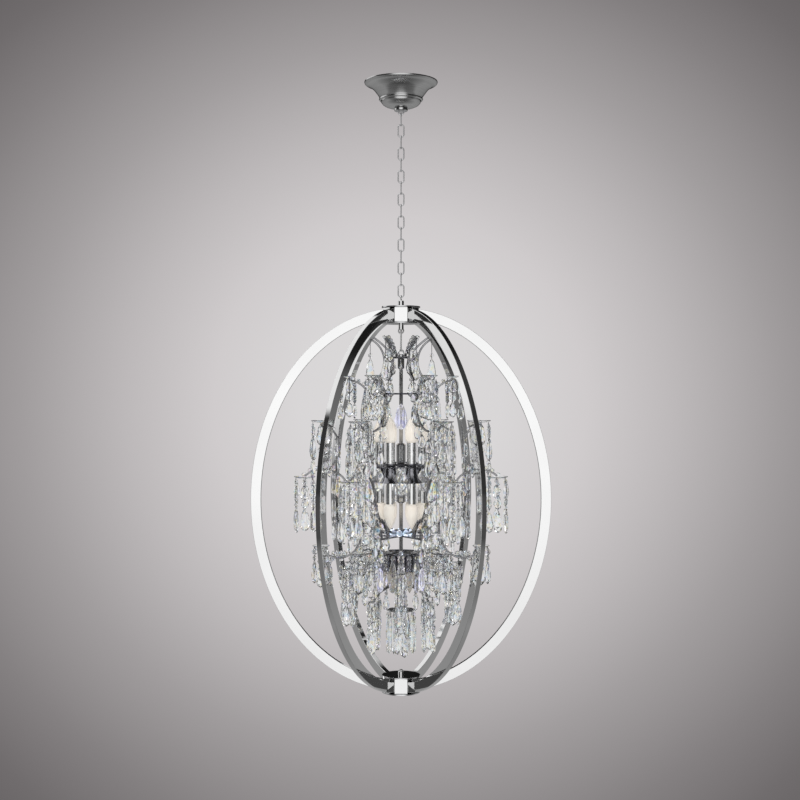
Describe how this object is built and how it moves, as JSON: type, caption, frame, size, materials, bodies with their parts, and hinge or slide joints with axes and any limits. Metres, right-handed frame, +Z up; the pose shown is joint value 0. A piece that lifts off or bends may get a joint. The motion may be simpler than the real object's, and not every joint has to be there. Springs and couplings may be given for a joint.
{
  "type": "orb cage crystal chandelier",
  "caption": "Oval cage of crossed polished flat-bar rings hung on a chain from a ceiling canopy, with a tiered crystal light inside.",
  "frame": {"origin": "middle of the ceiling plane that the canopy's rim and the mounting bar meet", "axes": "+Z up, along the chain; the broad ring and the two ceiling screws lie along X; -Y faces the picture's viewer"},
  "size_m": [0.78, 0.6824, 1.5854],
  "materials": {
    "steel": "zinc plated",
    "satin_nickel": "satin nickel",
    "chain_chrome": "polished",
    "ring_chrome": "polished",
    "hub_chrome": "polished",
    "frame_chrome": "polished",
    "dark_chrome": "polished, dark",
    "socket_plastic": "plain",
    "bulb_glass": "frosted, warm",
    "dish_glass": "cut, clear",
    "stone_glass": "cut, clear"
  },
  "bodies": {
    "canopy": {"mounting_bar": "steel", "threaded_nipple": "steel", "lock_nuts": "steel", "canopy_shell": "satin_nickel", "canopy_loop": "satin_nickel"},
    "collar": {"collar_ring": "satin_nickel"},
    "top_link": {"chain_top_link": "chain_chrome"},
    "chain": {"chain_links": "chain_chrome"},
    "cage": {"ring_front": "ring_chrome", "ring_left": "ring_chrome", "ring_right": "ring_chrome", "top_hub_plates": "hub_chrome", "top_hub_core": "hub_chrome", "top_hub_blocks": "hub_chrome", "bottom_hub_plates": "hub_chrome", "bottom_hub_core": "hub_chrome", "bottom_hub_blocks": "hub_chrome", "bottom_clamp": "hub_chrome", "cage_loop": "chain_chrome", "cage_eye": "chain_chrome"},
    "link": {"hanging_link": "chain_chrome"},
    "light": {"light_loop": "frame_chrome", "centre_stem": "frame_chrome", "stem_covers": "frame_chrome", "crown_spider": "frame_chrome", "crown_arms": "frame_chrome", "second_spider": "frame_chrome", "second_arms": "frame_chrome", "third_arms": "frame_chrome", "arm_hubs": "frame_chrome", "main_arms": "frame_chrome", "lower_spider": "frame_chrome", "lower_arms": "frame_chrome", "basket_arms": "frame_chrome", "bottom_arms": "frame_chrome", "prism_plate": "frame_chrome", "finial": "frame_chrome", "lamp_spider": "frame_chrome", "low_lamp_spider": "frame_chrome", "sleeves_up": "frame_chrome", "sleeves_down": "frame_chrome", "lamp_discs": "dark_chrome", "lamp_bells": "dark_chrome", "low_lamp_cups": "dark_chrome", "lamp_sockets": "socket_plastic", "bulbs_up": "bulb_glass", "bulbs_down": "bulb_glass", "low_bulbs": "bulb_glass", "tip_dishes": "dish_glass", "second_stones": "stone_glass", "third_stones": "stone_glass", "main_stones": "stone_glass", "lower_stones": "stone_glass", "crown_stones": "stone_glass", "basket_stones": "stone_glass", "bottom_stones": "stone_glass", "centre_drops": "stone_glass", "bottom_prisms": "stone_glass"}
  },
  "joints": [
    {"name": "collar_turn", "type": "hinge", "parent": "canopy", "child": "collar", "pos_m": [0, 0, -0.0723], "axis": [0, 0, 1], "continuous": true},
    {"name": "chain_swing_side", "type": "hinge", "parent": "canopy", "child": "top_link", "pos_m": [0, 0, -0.0813], "axis": [0, 1, 0], "range_deg": [-12, 12]},
    {"name": "chain_swing_fore", "type": "hinge", "parent": "top_link", "child": "chain", "pos_m": [0, 0, -0.111], "axis": [1, 0, 0], "range_deg": [-12, 12]},
    {"name": "cage_turn", "type": "hinge", "parent": "chain", "child": "cage", "pos_m": [0, 0, -0.556], "axis": [0, 0, 1], "range_deg": [-30, 30]},
    {"name": "light_swing_side", "type": "hinge", "parent": "cage", "child": "link", "pos_m": [0, 0, -0.649], "axis": [0, 1, 0], "range_deg": [-6, 6]},
    {"name": "light_swing_fore", "type": "hinge", "parent": "link", "child": "light", "pos_m": [0, 0, -0.6971], "axis": [1, 0, 0], "range_deg": [-6, 6]}
  ]
}
